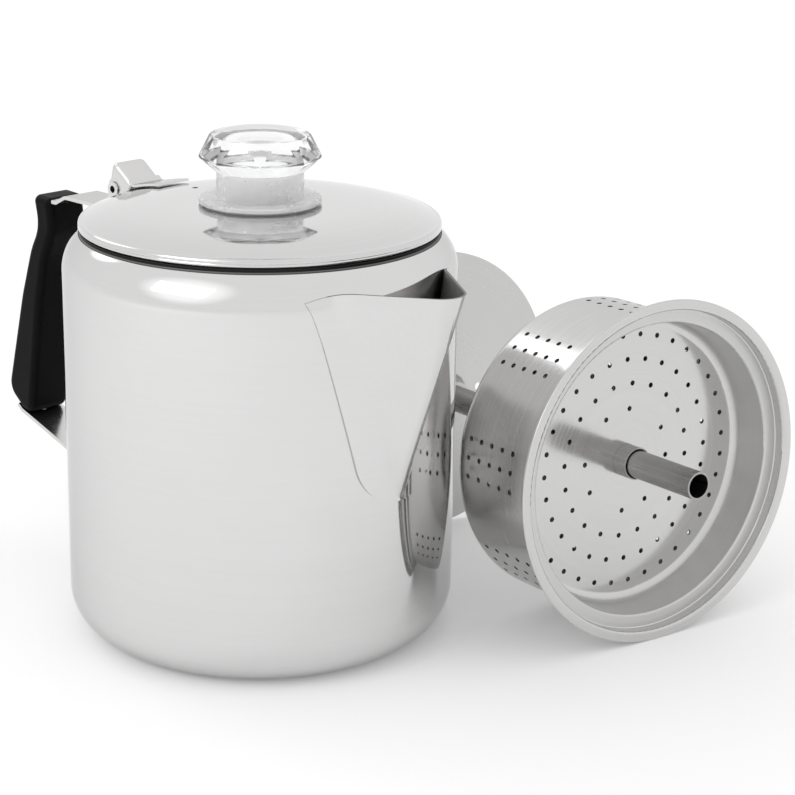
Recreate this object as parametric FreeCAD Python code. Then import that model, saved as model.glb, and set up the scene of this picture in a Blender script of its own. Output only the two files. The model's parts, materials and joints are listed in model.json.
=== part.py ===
import FreeCAD, Part
import math
import os

os.makedirs("parts", exist_ok=True)

# Camping coffee percolator, all sizes in millimetres.
# Frame: the pot's axis is Z, its base lies on z = 0, the spout points along +X and the
# handle along -X.  The brewing set (tube, foot, basket, spreader) lies on its side beside
# the pot on the same surface.

# ---- pot -------------------------------------------------------------------------------
body_radius = 65.0
body_height = 138.0
wall = 0.8
base_corner_radius = 15.8
shoulder_radius = 16.25
mouth_radius = 58.8
lip_wall = 0.7
lip_collar_height = 1.6

# ---- pour spout ------------------------------------------------------------------------
spout_sheet = 0.8
spout_top_height = 131.0
spout_reach_top = 90.7
spout_foot_height = 62.0
spout_half_angle = 34.5
spout_nose_radius = 2.6
seam_bottom_height = 60.0
seam_nose_radius = 17.5
seam_half_angle = 14.7
cutout_bottom_height = 76.0
cutout_top_height = 128.6
cutout_half_width = 17.0
cutout_corner_radius = 4.0

# ---- handle ----------------------------------------------------------------------------
strap_sheet = 1.4
upper_strap_sheet = 1.2
upper_strap_height = 133.0
upper_strap_width = 14.4
upper_strap_tongue_width = 10.0
upper_strap_drop = 2.8
upper_pad_bottom_height = 112.0
lower_strap_width = 16.0
lower_strap_wall_height = 27.8
lower_strap_slope = 16.9
lower_pad_bottom_height = 14.0
grip_inner_top_x = 104.3
grip_thickness = 10.2
grip_flare = 2.6
grip_top_height = 130.6
grip_width_top = 16.2
grip_width_middle = 18.6
grip_width_bottom = 16.8
grip_edge_radius = 2.6
grip_heel_x = 124.6
grip_heel_angle = 37.0
grip_toe_x = 118.6
grip_screw_radius = 1.5
grip_screw_head_radius = 2.9
grip_screw_length = 12.0
grip_screw_shift = 1.4

# ---- lid and its hinge -----------------------------------------------------------------
lid_radius = 59.4
lid_rim_height = 140.5
lid_rise = 4.9
lid_dome_power = 5.2
lid_sheet = 0.8
lid_hem_bottom_height = 138.35
skirt_radius = 57.6
skirt_bottom_height = 132.5
hinge_x = -68.0
hinge_height = 140.0
pin_radius = 2.0
pin_bore_radius = 1.25
pin_running_gap = 0.05
leaf_sheet = 0.8
leaf_half_width = 6.7
leaf_fold_radius = 2.2
leaf_foot = (-58.0, 143.0)
leaf_crest = (-67.0, 149.3)
lug_sheet = 1.2
lug_half_width = 5.6
bridge_height = 137.85
vent_hole_radius = 1.0
vent_hole_x = -32.7

# ---- sight knob ------------------------------------------------------------------------
knob_flange_radius = 20.15
knob_flange_thickness = 1.7
knob_neck_radius = 14.3
knob_plug_radius = 13.0
knob_girdle_radius = 20.0
knob_girdle_height = 161.0
knob_crown_radius = 16.6
knob_crown_height = 168.3
knob_table_radius = 12.2
knob_top_height = 169.2
knob_bore_radius = 11.6
knob_facets = 8
knob_facet_turn = 3.0
gasket_thickness = 0.5
flat_gap = 0.05

# ---- brewing set, measured along the tube from the foot's edge --------------------------
tube_radius = 4.75
tube_wall = 0.7
tube_length = 148.0
brim_station = 130.5
foot_radius = 53.0
foot_sheet = 0.8
basket_radius = 51.9
basket_sheet = 0.6
basket_depth_below_brim = 45.8
basket_corner_radius = 4.0
basket_bead_radius = 53.8
spreader_sheet = 0.6
brim_radius = 58.5
brim_inner_radius = 54.9
brim_step = 4.1
dish_radius = 49.6
dish_depth = 18.9
dish_corner_radius = 3.2
sleeve_bore_radius = 5.05
sleeve_wall = 0.5
perforation_radius = 0.9
set_heading = -10.46
set_brim_x = 103.9
set_brim_y = 85.5
resting_gap = 0.1

# ---- sizes worked out from the ones above ----------------------------------------------
lip_radius = mouth_radius + lip_wall
shoulder_axis_radius = body_radius - shoulder_radius
shoulder_swing = math.acos((lip_radius - shoulder_axis_radius) / shoulder_radius)
shoulder_height = body_height - lip_collar_height - shoulder_radius * math.sin(shoulder_swing)
spout_lean = (spout_reach_top - body_radius - spout_sheet) / (spout_top_height - spout_foot_height)
gasket_bottom_height = lid_rim_height + lid_rise
flange_bottom_height = gasket_bottom_height + gasket_thickness + flat_gap
flange_top_height = flange_bottom_height + knob_flange_thickness
basket_floor_station = brim_station - basket_depth_below_brim
annulus_station = brim_station - brim_step
plate_station = brim_station - dish_depth
basket_rim_station = annulus_station - spreader_sheet - resting_gap
sleeve_outer_radius = sleeve_bore_radius + sleeve_wall
brim_back_station = brim_station - spreader_sheet
set_tilt = math.degrees(math.atan2(brim_radius - foot_radius, brim_back_station))
far = 200.0


def vec(x, y, z):
    return FreeCAD.Vector(x, y, z)


def z_axis():
    return vec(0, 0, 1)


def box(x_low, x_high, y_low, y_high, z_low, z_high):
    corner = vec(x_low, y_low, z_low)
    return Part.makeBox(x_high - x_low, y_high - y_low, z_high - z_low, corner)


def cylinder(radius, start, direction, length):
    return Part.makeCylinder(radius, length, start, direction)


def tube(outer_radius, inner_radius, low, high):
    outer = cylinder(outer_radius, vec(0, 0, low), z_axis(), high - low)
    inner = cylinder(inner_radius, vec(0, 0, low - 1), z_axis(), high - low + 2)
    return outer.cut(inner)


def corner_points(before, here, after, radius):
    """Tangent points and middle point of the arc that rounds one corner."""
    to_before = before.sub(here).normalize()
    to_after = after.sub(here).normalize()
    half = to_before.getAngle(to_after) / 2
    reach = radius / math.tan(half)
    bisector = to_before.add(to_after).normalize()
    middle = here.add(bisector.multiply(radius / math.sin(half) - radius))
    return here.add(to_before.multiply(reach)), middle, here.add(to_after.multiply(reach))


def outline(corners):
    """Closed wire in the XZ plane from (x, z, corner radius) entries."""
    points = [vec(x, 0, z) for x, z, radius in corners]
    count = len(points)
    starts = []
    ends = []
    edges = []
    for index in range(count):
        radius = corners[index][2]
        if radius > 0:
            before = points[index - 1]
            after = points[(index + 1) % count]
            start, middle, end = corner_points(before, points[index], after, radius)
            edges.append(Part.Arc(start, middle, end).toShape())
        else:
            start = points[index]
            end = points[index]
        starts.append(start)
        ends.append(end)
    for index in range(count):
        following = starts[(index + 1) % count]
        edges.append(Part.LineSegment(ends[index], following).toShape())
    return Part.Wire(Part.__sortEdges__(edges))


def lathe(corners):
    return Part.Face(outline(corners)).revolve(vec(0, 0, 0), z_axis(), 360)


def side_plate(corners, half_width):
    """Plate cut to an XZ outline and centred on y = 0."""
    face = Part.Face(outline(corners))
    face.translate(vec(0, -half_width, 0))
    return face.extrude(vec(0, 2 * half_width, 0))


def front_plate(corners, x_low, x_high):
    """Prism whose (y, z) outline is carried along X."""
    prism = side_plate(corners, (x_high - x_low) / 2)
    prism.rotate(vec(0, 0, 0), z_axis(), 90)
    prism.translate(vec((x_low + x_high) / 2, 0, 0))
    return prism


def pot_form(offset, neck_radius, top):
    """Solid of the pot's outer form, moved outward by offset, closed at height top."""
    corner_axis = body_radius - base_corner_radius
    corner_reach = base_corner_radius + offset
    turn = shoulder_radius + offset
    swing = math.acos((neck_radius - shoulder_axis_radius) / turn)
    diagonal = math.sqrt(0.5)
    base_middle = vec(corner_axis + corner_reach * diagonal, 0,
                      base_corner_radius - corner_reach * diagonal)
    shoulder_middle = vec(shoulder_axis_radius + turn * math.cos(swing / 2), 0,
                          shoulder_height + turn * math.sin(swing / 2))
    base_centre = vec(0, 0, -offset)
    base_edge = vec(corner_axis, 0, -offset)
    wall_foot = vec(body_radius + offset, 0, base_corner_radius)
    wall_top = vec(body_radius + offset, 0, shoulder_height)
    neck = vec(neck_radius, 0, shoulder_height + turn * math.sin(swing))
    lip = vec(neck_radius, 0, top)
    top_centre = vec(0, 0, top)
    edges = [
        Part.LineSegment(base_centre, base_edge).toShape(),
        Part.Arc(base_edge, base_middle, wall_foot).toShape(),
        Part.LineSegment(wall_foot, wall_top).toShape(),
        Part.Arc(wall_top, shoulder_middle, neck).toShape(),
        Part.LineSegment(neck, lip).toShape(),
        Part.LineSegment(lip, top_centre).toShape(),
        Part.LineSegment(top_centre, base_centre).toShape(),
    ]
    return Part.Face(Part.Wire(edges)).revolve(vec(0, 0, 0), z_axis(), 360)


def pot_solid():
    return pot_form(0.0, lip_radius, body_height)


def pot_skin(thickness):
    """Sheet that hugs the outside of the pot's wall and shoulder."""
    outside = pot_form(thickness, lip_radius + thickness, body_height)
    return outside.cut(pot_solid())


def spout_cutout():
    corners = [
        (0.0, cutout_bottom_height, cutout_corner_radius / 2),
        (cutout_half_width, cutout_top_height, cutout_corner_radius),
        (-cutout_half_width, cutout_top_height, cutout_corner_radius),
    ]
    return front_plate(corners, body_radius / 2, body_radius + cutout_half_width)


def make_pot_body():
    cavity = pot_form(-wall, mouth_radius, body_height + 1.0)
    return pot_solid().cut(cavity).cut(spout_cutout())


def wedge(nose_radius, nose_reach, back_x, low, high):
    """Leaning V-shaped prism whose rounded nose points along +X."""
    angle = math.radians(spout_half_angle)
    foot_reach = nose_reach + spout_lean * (low - spout_foot_height)
    nose_centre = foot_reach - nose_radius
    apex = nose_centre + nose_radius / math.sin(angle)
    touch_x = nose_centre + nose_radius * math.sin(angle)
    touch_y = nose_radius * math.cos(angle)
    back_y = (apex - back_x) * math.tan(angle)
    left = vec(touch_x, touch_y, low)
    right = vec(touch_x, -touch_y, low)
    nose = vec(foot_reach, 0, low)
    back_left = vec(back_x, back_y, low)
    back_right = vec(back_x, -back_y, low)
    edges = [
        Part.Arc(left, nose, right).toShape(),
        Part.LineSegment(right, back_right).toShape(),
        Part.LineSegment(back_right, back_left).toShape(),
        Part.LineSegment(back_left, left).toShape(),
    ]
    rise = high - low
    return Part.Face(Part.Wire(edges)).extrude(vec(spout_lean * rise, 0, rise))


def seam_outline():
    """Rounded V in which the spout's welded flange lies."""
    angle = math.radians(seam_half_angle)
    apex = seam_bottom_height + seam_nose_radius - seam_nose_radius / math.sin(angle)
    half_width = (spout_top_height - apex) * math.tan(angle)
    corners = [
        (0.0, apex, seam_nose_radius),
        (half_width, spout_top_height, 0),
        (-half_width, spout_top_height, 0),
    ]
    return front_plate(corners, body_radius / 2, far)


def make_pour_spout():
    low = spout_foot_height - base_corner_radius
    high = spout_top_height + spout_nose_radius
    reach = body_radius + spout_sheet
    back = body_radius * 0.6
    outer = wedge(spout_nose_radius, reach, back, low, high)
    inner = wedge(spout_nose_radius - spout_sheet, reach - spout_sheet, back - 5.0,
                  low - 5.0, high + 5.0)
    flange = pot_skin(spout_sheet).common(seam_outline())
    sheet = flange.fuse(outer.cut(pot_solid())).cut(inner)
    lowest = box(-far, far, -far, far, seam_bottom_height - 1.0, spout_top_height)
    return sheet.common(lowest).removeSplitter()


def weld_pad(half_width, low, high):
    window = box(-far, -body_radius / 2, -half_width, half_width, low, high)
    return pot_skin(strap_sheet).common(window)


def make_upper_strap():
    top = upper_strap_height
    low = top - upper_strap_drop
    under = top - upper_strap_sheet
    corners = [
        (-mouth_radius, top, 0),
        (-96.0, top, 4.0),
        (-101.5, low, 3.0),
        (-110.5, low, 0),
        (-110.5, low - upper_strap_sheet, 0),
        (-101.0, low - upper_strap_sheet, 3.0),
        (-95.6, under, 4.0),
        (-mouth_radius, under, 0),
    ]
    strap = side_plate(corners, upper_strap_width / 2)
    pad = weld_pad(upper_strap_width / 2, upper_pad_bottom_height, top)
    shoulder = grip_inner_top_x - 0.6
    slot = box(-far, -shoulder, -far, far, 0, far)
    slot = slot.cut(box(-far, 0, -upper_strap_tongue_width / 2, upper_strap_tongue_width / 2, 0, far))
    return strap.cut(pot_solid()).cut(slot).fuse(pad).removeSplitter()


def lower_strap_outer(x):
    """Height of the lower strap's under face at distance x from the axis."""
    return lower_strap_wall_height + (x - body_radius) * math.tan(math.radians(lower_strap_slope))


def lower_strap_inner(x):
    """Height of the lower strap's upper face at distance x from the axis."""
    return lower_strap_outer(x) + strap_sheet / math.cos(math.radians(lower_strap_slope))


def make_lower_strap():
    bend = grip_heel_x
    outer_bend = bend + 0.75
    curl = 2.8
    curl_angle = math.radians(grip_heel_angle)
    curl_x = bend + curl * math.cos(curl_angle)
    curl_z = lower_strap_inner(bend) + curl * math.sin(curl_angle)
    start = body_radius - 3.0
    corners = [
        (-start, lower_strap_outer(start), 0),
        (-outer_bend, lower_strap_outer(outer_bend), 2.4),
        (-curl_x - strap_sheet * math.sin(curl_angle), curl_z - strap_sheet * math.cos(curl_angle), 0),
        (-curl_x, curl_z, 0),
        (-bend, lower_strap_inner(bend), 1.0),
        (-start, lower_strap_inner(start), 0),
    ]
    strap = side_plate(corners, lower_strap_width / 2)
    strap = strap.cut(pot_solid())
    pad = weld_pad(lower_strap_width / 2, lower_pad_bottom_height, lower_strap_inner(body_radius))
    strap = strap.fuse(pad).removeSplitter()
    return strap.cut(screw_shape(grip_screw_radius + 0.1, 0.0))


def grip_side():
    """Side outline of the grip: a paddle that leans outward towards its foot."""
    inner_top = grip_inner_top_x
    outer_top = inner_top + grip_thickness
    corners = [
        (-inner_top, grip_top_height, 1.6),
        (-outer_top, grip_top_height + 0.4, 2.2),
        (-outer_top + grip_flare, 119.5, 14.0),
        (-116.6, 110.5, 30.0),
        (-132.9, 54.0, 7.0),
        (-grip_heel_x, lower_strap_inner(grip_heel_x) + resting_gap, 1.0),
        (-grip_toe_x, lower_strap_inner(grip_toe_x) + resting_gap, 3.6),
        (-107.6, 108.0, 30.0),
        (-102.7, 119.5, 12.0),
    ]
    return corners


def grip_front():
    """Width of the grip against height, as a (y, z) outline."""
    low = 40.0
    high = grip_top_height + 5.0
    middle = 92.0
    corners = []
    for side in (1, -1):
        pairs = [
            (grip_width_bottom, low, 0),
            (grip_width_middle, middle, 60.0),
            (grip_width_top, grip_top_height - 12.0, 20.0),
            (grip_width_top, high, 0),
        ]
        if side < 0:
            pairs.reverse()
        for width, height, radius in pairs:
            corners.append((side * width / 2, height, radius))
    return front_plate(corners, -far, 0.0)


def screw_axis():
    slope = math.radians(lower_strap_slope)
    along = vec(math.sin(slope), 0, math.cos(slope))
    seat_x = (grip_heel_x + grip_toe_x) / 2 + grip_screw_shift
    seat = vec(-seat_x, 0, lower_strap_outer(seat_x))
    return seat, along


def screw_shape(shank_radius, head_radius):
    seat, along = screw_axis()
    start = seat.sub(vec(along.x, 0, along.z).multiply(0.02))
    shank = cylinder(shank_radius, start, along, grip_screw_length)
    if head_radius <= 0:
        return shank
    head_start = seat.sub(vec(along.x, 0, along.z).multiply(1.6))
    head = cylinder(head_radius, head_start, along, 1.58)
    return shank.fuse(head).removeSplitter()


def make_grip_screw():
    screw = screw_shape(grip_screw_radius, grip_screw_head_radius)
    seat, along = screw_axis()
    slot_start = seat.sub(vec(along.x, 0, along.z).multiply(1.6))
    slot = box(-0.4, 0.4, -4.0, 4.0, -0.1, 0.7)
    slot.rotate(vec(0, 0, 0), vec(0, 1, 0), lower_strap_slope)
    slot.translate(slot_start)
    return screw.cut(slot)


def make_handle_grip():
    grip = side_plate(grip_side(), grip_width_middle).common(grip_front())
    long_edges = []
    for edge in grip.Edges:
        middle = edge.valueAt((edge.FirstParameter + edge.LastParameter) / 2)
        runs_along_side = abs(edge.BoundBox.YLength) < grip_width_middle / 2
        if runs_along_side and abs(middle.y) > grip_width_top / 4:
            long_edges.append(edge)
    grip = grip.makeFillet(grip_edge_radius, long_edges)
    pocket_half = upper_strap_tongue_width / 2 + resting_gap
    strap_level = upper_strap_height - upper_strap_drop
    pocket = box(-111.0, -100.0, -pocket_half, pocket_half,
                 strap_level - upper_strap_sheet - resting_gap, strap_level + resting_gap)
    return grip.cut(pocket).cut(screw_shape(grip_screw_radius + 0.1, 0.0))


def make_hinge_bracket():
    base_top = upper_strap_height + lug_sheet
    base = box(-76.0, -mouth_radius, -lug_half_width, lug_half_width,
               upper_strap_height, base_top)
    lug = side_plate([
        (-63.8, base_top - 0.2, 0),
        (-64.2, hinge_height + 3.8, 3.6),
        (-71.8, hinge_height + 3.8, 3.6),
        (-73.5, base_top - 0.2, 0),
    ], lug_half_width)
    gap = box(-far, 0, -lug_half_width + lug_sheet, lug_half_width - lug_sheet,
              base_top, far)
    bridge = box(-71.0, -lip_radius, -lug_half_width + lug_sheet, lug_half_width - lug_sheet,
                 bridge_height - lug_sheet, bridge_height)
    bore = cylinder(pin_radius + 0.02, vec(hinge_x, -far / 2, hinge_height), vec(0, 1, 0), far)
    bracket = base.fuse(lug.cut(gap)).cut(pot_solid())
    return bracket.fuse(bridge).cut(bore).removeSplitter()


def make_hinge_pin():
    half = leaf_half_width + 0.75
    head = 0.6
    start = vec(hinge_x, -half, hinge_height)
    across = vec(0, 1, 0)
    pin = cylinder(pin_radius, start, across, 2 * half)
    near_head = cylinder(pin_radius + 0.6, start, across, head)
    far_head = cylinder(pin_radius + 0.6, vec(hinge_x, half - head, hinge_height), across, head)
    bore = cylinder(pin_bore_radius, vec(hinge_x, -far / 2, hinge_height), across, far)
    return pin.fuse(near_head).fuse(far_head).cut(bore).removeSplitter()


def lid_height(radius):
    return lid_rim_height + lid_rise * (1 - (radius / lid_radius) ** lid_dome_power)


def dome_points(reach, drop):
    """Points of the dome's section from the axis outward, lowered by drop."""
    steps = 16
    points = []
    for index in range(steps + 1):
        radius = reach * index / steps
        points.append(vec(radius, 0, lid_height(radius) - drop))
    return points


def dome_curve(reach, drop):
    curve = Part.BSplineCurve()
    curve.interpolate(dome_points(reach, drop))
    return curve.toShape()


def make_lid_cover():
    outer_reach = lid_radius - 0.7
    inner_reach = lid_radius - 1.3
    outer_end = vec(outer_reach, 0, lid_height(outer_reach))
    inner_end = vec(inner_reach, 0, lid_height(inner_reach) - lid_sheet)
    hem = lid_hem_bottom_height
    rim_high = vec(lid_radius, 0, lid_rim_height - 0.6)
    rim_turn = vec(lid_radius - 0.2, 0, lid_rim_height - 0.1)
    rim_low = vec(lid_radius, 0, hem + 0.5)
    hem_turn = vec(lid_radius - 0.15, 0, hem + 0.15)
    hem_outer = vec(lid_radius - 0.5, 0, hem)
    hem_inner = vec(inner_reach, 0, hem)
    crown = vec(0, 0, lid_height(0))
    crown_under = vec(0, 0, lid_height(0) - lid_sheet)
    edges = [
        dome_curve(outer_reach, 0.0),
        Part.Arc(outer_end, rim_turn, rim_high).toShape(),
        Part.LineSegment(rim_high, rim_low).toShape(),
        Part.Arc(rim_low, hem_turn, hem_outer).toShape(),
        Part.LineSegment(hem_outer, hem_inner).toShape(),
        Part.LineSegment(hem_inner, inner_end).toShape(),
        dome_curve(inner_reach, lid_sheet),
        Part.LineSegment(crown_under, crown).toShape(),
    ]
    wire = Part.Wire(Part.__sortEdges__(edges))
    cover = Part.Face(wire).revolve(vec(0, 0, 0), z_axis(), 360)
    knob_hole = cylinder(knob_plug_radius + 0.3, vec(0, 0, 0), z_axis(), far)
    vent = cylinder(vent_hole_radius, vec(vent_hole_x, 0, 0), z_axis(), far)
    notch = box(-far, -56.8, -5.0, 5.0, 0.0, far)
    return cover.cut(knob_hole).cut(vent).cut(notch).cut(lug_window(0.4, 0.0))


def lug_window(clearance, heading):
    """Two opposite sectors through which the knob's locking lugs pass."""
    reach = knob_plug_radius + 2.2 + clearance
    half_width = 4.2 + clearance
    window = box(-reach, reach, -half_width, half_width, 100.0, far)
    window = window.common(cylinder(reach, vec(0, 0, 0), z_axis(), far))
    window.rotate(vec(0, 0, 0), z_axis(), heading)
    return window


def make_lid_skirt():
    under = lid_height(skirt_radius) - lid_sheet - 0.05
    return lathe([
        (skirt_radius - 0.8, skirt_bottom_height + 0.3, 0),
        (skirt_radius - 0.5, skirt_bottom_height, 0),
        (skirt_radius - 0.2, skirt_bottom_height + 0.2, 0),
        (skirt_radius, skirt_bottom_height + 0.9, 0),
        (skirt_radius, under, 0),
        (skirt_radius - 0.8, under, 0),
    ])


def leaf_cover(inset):
    """Outline of the folded cover over the pin, with its top and ends moved in by inset."""
    foot_x, foot_z = leaf_foot
    crest_x, crest_z = leaf_crest
    return [
        (foot_x - 0.6 * inset, foot_z - inset, 0),
        (crest_x, crest_z - 1.1 * inset, 2.6 - inset),
        (-69.6 + inset, 148.6 - inset, 1.8 - inset),
        (-71.2 + inset, 142.0, 5.0),
        (-71.2 + inset, 139.0, 3.0),
        (-69.6 + inset, 136.8, 1.5),
        (-66.0, 136.8, 3.0),
        (-60.2, 140.3, 1.5),
    ]


def leaf_tongue():
    """Section of the flat tongue that reaches over the lid from the foot of the ramp."""
    foot_x, foot_z = leaf_foot
    t = leaf_sheet
    return [
        (-44.0, 145.7, 0),
        (-50.5, 144.6, 6.0),
        (foot_x, foot_z, 2.4),
        (foot_x - 2.0, foot_z + 1.4, 0),
        (foot_x - 2.0, foot_z + 0.3, 0),
        (foot_x, foot_z - t, 3.0),
        (-50.4, 144.6 - t, 6.0),
        (-43.8, 145.7 - t, 0),
    ]


def folded_cover(inset, fold_radius):
    half = leaf_half_width - inset
    cover = side_plate(leaf_cover(inset), half)
    folds = []
    for edge in cover.Edges:
        middle = edge.valueAt((edge.FirstParameter + edge.LastParameter) / 2)
        along_side = abs(abs(middle.y) - half) < 0.01 and edge.BoundBox.YLength < 0.01
        on_top = middle.z > leaf_foot[1] - inset and middle.x > -69.6
        if along_side and on_top:
            folds.append(edge)
    return cover.makeFillet(fold_radius, folds)


def make_hinge_leaf():
    cover = folded_cover(0.0, leaf_fold_radius)
    inside = folded_cover(leaf_sheet, leaf_fold_radius - leaf_sheet)
    below = side_plate([
        (-72.5, 146.8, 0),
        (-72.5, 130.0, 0),
        (-55.0, 130.0, 0),
        (-55.0, 140.0, 0),
        (-59.2, 142.0, 0),
        (-65.5, 146.6, 0),
    ], leaf_half_width - leaf_sheet)
    tongue = side_plate(leaf_tongue(), leaf_half_width)
    leaf = cover.cut(inside).cut(below).fuse(tongue)
    bore = cylinder(pin_radius + pin_running_gap, vec(hinge_x, -far / 2, hinge_height),
                    vec(0, 1, 0), far)
    return leaf.cut(bore).removeSplitter()


def polygon_at(radius, height):
    points = []
    for index in range(knob_facets + 1):
        angle = math.radians(knob_facet_turn) + 2 * math.pi * index / knob_facets
        points.append(vec(radius * math.cos(angle), radius * math.sin(angle), height))
    return Part.makePolygon(points)


def make_sight_knob():
    neck_top = knob_girdle_height - 4.6
    plug_bottom = flange_bottom_height - 4.4
    body = lathe([
        (0.0, plug_bottom, 0),
        (knob_plug_radius, plug_bottom, 0),
        (knob_plug_radius, flange_bottom_height, 0),
        (knob_flange_radius, flange_bottom_height, 0.5),
        (knob_flange_radius, flange_top_height, 0.6),
        (knob_neck_radius, flange_top_height, 1.0),
        (knob_neck_radius, neck_top + 1.0, 0),
        (0.0, neck_top + 1.0, 0),
    ])
    under = Part.makeLoft([polygon_at(knob_neck_radius + 1.2, neck_top),
                           polygon_at(knob_girdle_radius, knob_girdle_height - 0.7)], True, True)
    girdle = Part.makeLoft([polygon_at(knob_girdle_radius, knob_girdle_height - 0.7),
                            polygon_at(knob_girdle_radius, knob_girdle_height + 0.3)], True, True)
    bevel = Part.makeLoft([polygon_at(knob_girdle_radius, knob_girdle_height + 0.3),
                           polygon_at(knob_crown_radius, knob_crown_height)], True, True)
    crown = Part.makeLoft([polygon_at(knob_crown_radius, knob_crown_height),
                           polygon_at(knob_table_radius, knob_top_height)], True, True)
    bore = lathe([
        (0.0, plug_bottom - 1.0, 0),
        (knob_bore_radius, plug_bottom - 1.0, 0),
        (knob_bore_radius, neck_top + 0.5, 3.0),
        (knob_bore_radius - 3.0, neck_top + 5.0, 3.0),
        (0.0, neck_top + 5.0, 0),
    ])
    lugs = lug_window(0.0, 90.0).common(box(-far, far, -far, far, plug_bottom, plug_bottom + 1.6))
    knob = body.fuse(under).fuse(girdle).fuse(bevel).fuse(crown).fuse(lugs)
    return knob.cut(bore).removeSplitter()


def make_knob_gasket():
    return tube(knob_flange_radius - 1.2, knob_plug_radius + 0.5,
                gasket_bottom_height, gasket_bottom_height + gasket_thickness)


def make_pump_tube():
    return tube(tube_radius, tube_radius - tube_wall, 3.0, tube_length)


def make_pump_foot():
    bore = tube_radius + 0.05
    foot = lathe([
        (foot_radius, 0.0, 0),
        (foot_radius, foot_sheet, 0),
        (13.0, 6.3, 12.0),
        (8.5, 8.7, 3.0),
        (6.2, 15.0, 0),
        (bore, 15.0, 0),
        (bore, 9.0, 0),
        (7.6, 7.9, 0),
        (12.7, 5.5, 9.0),
        (foot_radius - 1.0, 0.0, 0),
    ])
    inlets = []
    for index in range(4):
        angle = math.radians(90 * index)
        place = vec(17.0 * math.cos(angle), 17.0 * math.sin(angle), 0)
        inlets.append(cylinder(1.5, place, z_axis(), 12.0))
    return foot.cut(Part.makeCompound(inlets))


def make_foot_ferrule():
    return tube(tube_radius + 1.3, tube_radius + 0.05, 5.4, 8.5)


def make_tube_collar():
    top = basket_floor_station - resting_gap
    return tube(tube_radius + 1.7, tube_radius + 0.05, top - 2.4, top)


def side_perforations():
    """Eight groups, each three rows round the drum by five along it."""
    first_station = 92.3
    pitch = 5.6
    row_angle = 7.15
    groups = 8
    group_phase = 39.0
    holes = []
    for group in range(groups):
        for row in (-1, 0, 1):
            angle = math.radians(group_phase + 360 * group / groups + row * row_angle)
            outward = vec(math.cos(angle), math.sin(angle), 0)
            start = vec(outward.x * 45.0, outward.y * 45.0, 0)
            for index in range(5):
                place = vec(start.x, start.y, first_station + pitch * index)
                holes.append(cylinder(perforation_radius, place, outward, 12.0))
    return holes


def ring_perforations(radius, count, phase, station):
    holes = []
    for index in range(count):
        angle = math.radians(phase + 360 * index / count)
        place = vec(radius * math.cos(angle), radius * math.sin(angle), station - 3.0)
        holes.append(cylinder(perforation_radius, place, z_axis(), 6.0))
    return holes


def make_basket_cup():
    floor = basket_floor_station
    rim = basket_rim_station
    inner = basket_radius - basket_sheet
    bead = basket_bead_radius
    cup = lathe([
        (sleeve_outer_radius + 0.05, floor, 0),
        (basket_radius, floor, basket_corner_radius),
        (basket_radius, rim - 3.0, 0.6),
        (bead, rim - 2.4, 0.8),
        (bead, rim, 0.8),
        (inner, rim, 0.3),
        (inner, floor + basket_sheet, basket_corner_radius - basket_sheet),
        (sleeve_outer_radius + 0.05, floor + basket_sheet, 0),
    ])
    holes = side_perforations()
    for radius, count in ((14.0, 8), (22.0, 16), (30.0, 24), (38.0, 32), (45.5, 40)):
        holes.extend(ring_perforations(radius, count, 0.0, floor))
    return cup.cut(Part.makeCompound(holes))


def make_basket_sleeve():
    floor = basket_floor_station
    plate = floor + basket_sheet + 0.02
    return lathe([
        (sleeve_bore_radius, floor, 0),
        (sleeve_outer_radius, floor, 0),
        (sleeve_outer_radius, plate, 0),
        (sleeve_outer_radius + 3.0, plate, 0),
        (sleeve_outer_radius + 3.0, plate + 0.6, 0),
        (sleeve_outer_radius, plate + 0.6, 0),
        (sleeve_outer_radius, floor + 11.0, 0),
        (sleeve_bore_radius, floor + 11.0, 0),
    ])


def make_spreader_plate():
    sheet = spreader_sheet
    bore = sleeve_outer_radius + 0.05
    plate = lathe([
        (bore, plate_station, 0),
        (dish_radius, plate_station, dish_corner_radius),
        (dish_radius + 0.4, annulus_station, 0.8),
        (brim_inner_radius, annulus_station, 0.5),
        (brim_inner_radius, brim_station, 0.9),
        (brim_radius, brim_station, 0.4),
        (brim_radius, brim_station - sheet, 0),
        (brim_inner_radius + sheet, brim_station - sheet, 0.3),
        (brim_inner_radius + sheet, annulus_station - sheet, 1.1),
        (dish_radius + 0.4 + sheet, annulus_station - sheet, 0.2),
        (dish_radius + sheet, plate_station - sheet, dish_corner_radius + sheet),
        (bore, plate_station - sheet, 0),
    ])
    phase = 12.7
    pair_angle = 17.0
    holes = []
    for turn in range(4):
        for side in (-1, 1):
            angle = phase + 90 * turn + side * pair_angle
            holes.extend(ring_perforations(17.8, 1, angle, plate_station))
    for radius, count in ((26.6, 20), (35.0, 28), (43.35, 36)):
        holes.extend(ring_perforations(radius, count, phase, plate_station))
    return plate.cut(Part.makeCompound(holes))


def make_spreader_collar():
    back = plate_station - spreader_sheet
    return lathe([
        (sleeve_bore_radius, back - 0.7, 0),
        (sleeve_outer_radius + 2.4, back - 0.7, 0),
        (sleeve_outer_radius + 2.4, back - 0.02, 0),
        (sleeve_outer_radius, back - 0.02, 0),
        (sleeve_outer_radius, plate_station + 6.2, 0.2),
        (sleeve_bore_radius, plate_station + 6.2, 0.2),
    ])


def lay_down(shape):
    """Turn a part of the brewing set on its side and put it beside the pot."""
    origin = vec(0, 0, 0)
    tilt = math.radians(set_tilt)
    heading = math.radians(set_heading)
    shape.rotate(origin, z_axis(), 180)
    shape.rotate(origin, vec(0, 1, 0), 90 - set_tilt)
    shape.rotate(origin, z_axis(), set_heading)
    foot_x = set_brim_x - brim_station * math.cos(tilt) * math.cos(heading)
    foot_y = set_brim_y - brim_station * math.cos(tilt) * math.sin(heading)
    shape.translate(vec(foot_x, foot_y, foot_radius * math.cos(tilt)))
    return shape


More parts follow.
